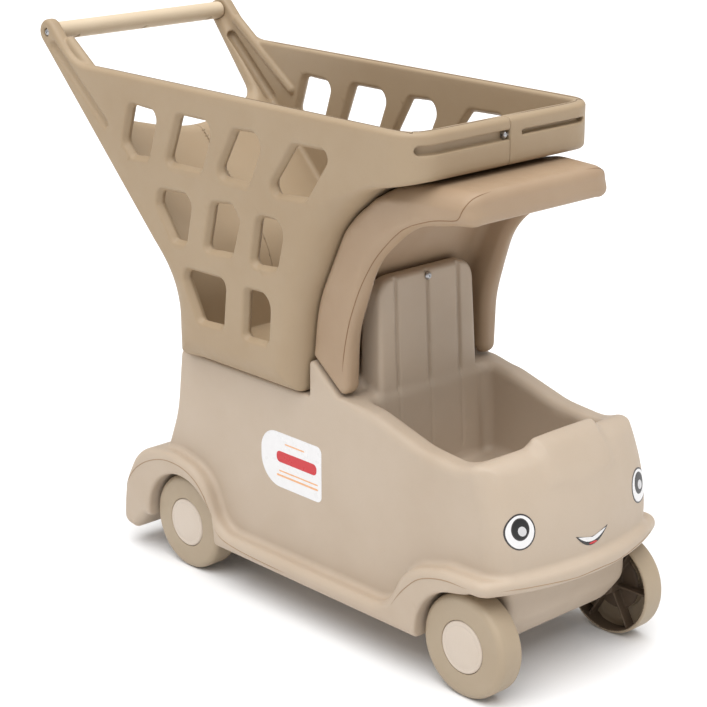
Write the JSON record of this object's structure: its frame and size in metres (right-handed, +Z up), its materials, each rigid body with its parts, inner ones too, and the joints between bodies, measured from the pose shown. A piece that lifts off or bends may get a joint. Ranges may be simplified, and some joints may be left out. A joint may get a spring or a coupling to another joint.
{
  "type": "toy shopping cart",
  "caption": "Toddler's toy shopping cart shaped like a car, with an open cockpit under a hood, a windowed basket, a push handle and free-running wheels.",
  "frame": {"origin": "on the floor, under the middle of the overall length and width", "axes": "+X forwards, towards the face; +Y to the cart's left; +Z up"},
  "size_m": [0.6117, 0.222, 0.4991],
  "materials": {
    "sand_plastic": "matte blow-moulded polyethylene",
    "tan_plastic": "matte blow-moulded polyethylene",
    "wheel_plastic": "matte moulded polyethylene",
    "cream_plastic": "satin moulded plastic",
    "steel": "zinc plated",
    "eye_film": "printed vinyl",
    "mouth_film": "printed vinyl",
    "label_film": "printed vinyl"
  },
  "bodies": {
    "cart": {"body_shell": "sand_plastic", "hood": "tan_plastic", "basket_right": "sand_plastic", "basket_left": "sand_plastic", "handle_bar": "sand_plastic", "handle_screws": "steel", "basket_seam_screw": "steel", "basket_floor_screws": "steel", "hood_screw": "steel", "rear_axle": "steel", "front_axle": "steel", "axle_caps": "steel", "eye_right": "eye_film", "eye_left": "eye_film", "mouth": "mouth_film", "label_right": "label_film", "label_left": "label_film"},
    "rear_right_wheel": {"wheel_rear_right": "wheel_plastic", "hubcap_rear_right": "cream_plastic"},
    "rear_left_wheel": {"wheel_rear_left": "wheel_plastic", "hubcap_rear_left": "cream_plastic"},
    "front_right_wheel": {"wheel_front_right": "wheel_plastic", "hubcap_front_right": "cream_plastic"},
    "front_left_wheel": {"wheel_front_left": "wheel_plastic", "hubcap_front_left": "cream_plastic"}
  },
  "joints": [
    {"name": "rear_right_wheel_spin", "type": "hinge", "parent": "cart", "child": "rear_right_wheel", "pos_m": [-0.111, -0.091, 0.04525], "axis": [0, 1, 0], "continuous": true},
    {"name": "rear_left_wheel_spin", "type": "hinge", "parent": "cart", "child": "rear_left_wheel", "pos_m": [-0.111, 0.091, 0.04525], "axis": [0, 1, 0], "continuous": true},
    {"name": "front_right_wheel_spin", "type": "hinge", "parent": "cart", "child": "front_right_wheel", "pos_m": [0.249, -0.091, 0.04525], "axis": [0, 1, 0], "continuous": true},
    {"name": "front_left_wheel_spin", "type": "hinge", "parent": "cart", "child": "front_left_wheel", "pos_m": [0.249, 0.091, 0.04525], "axis": [0, 1, 0], "continuous": true}
  ]
}
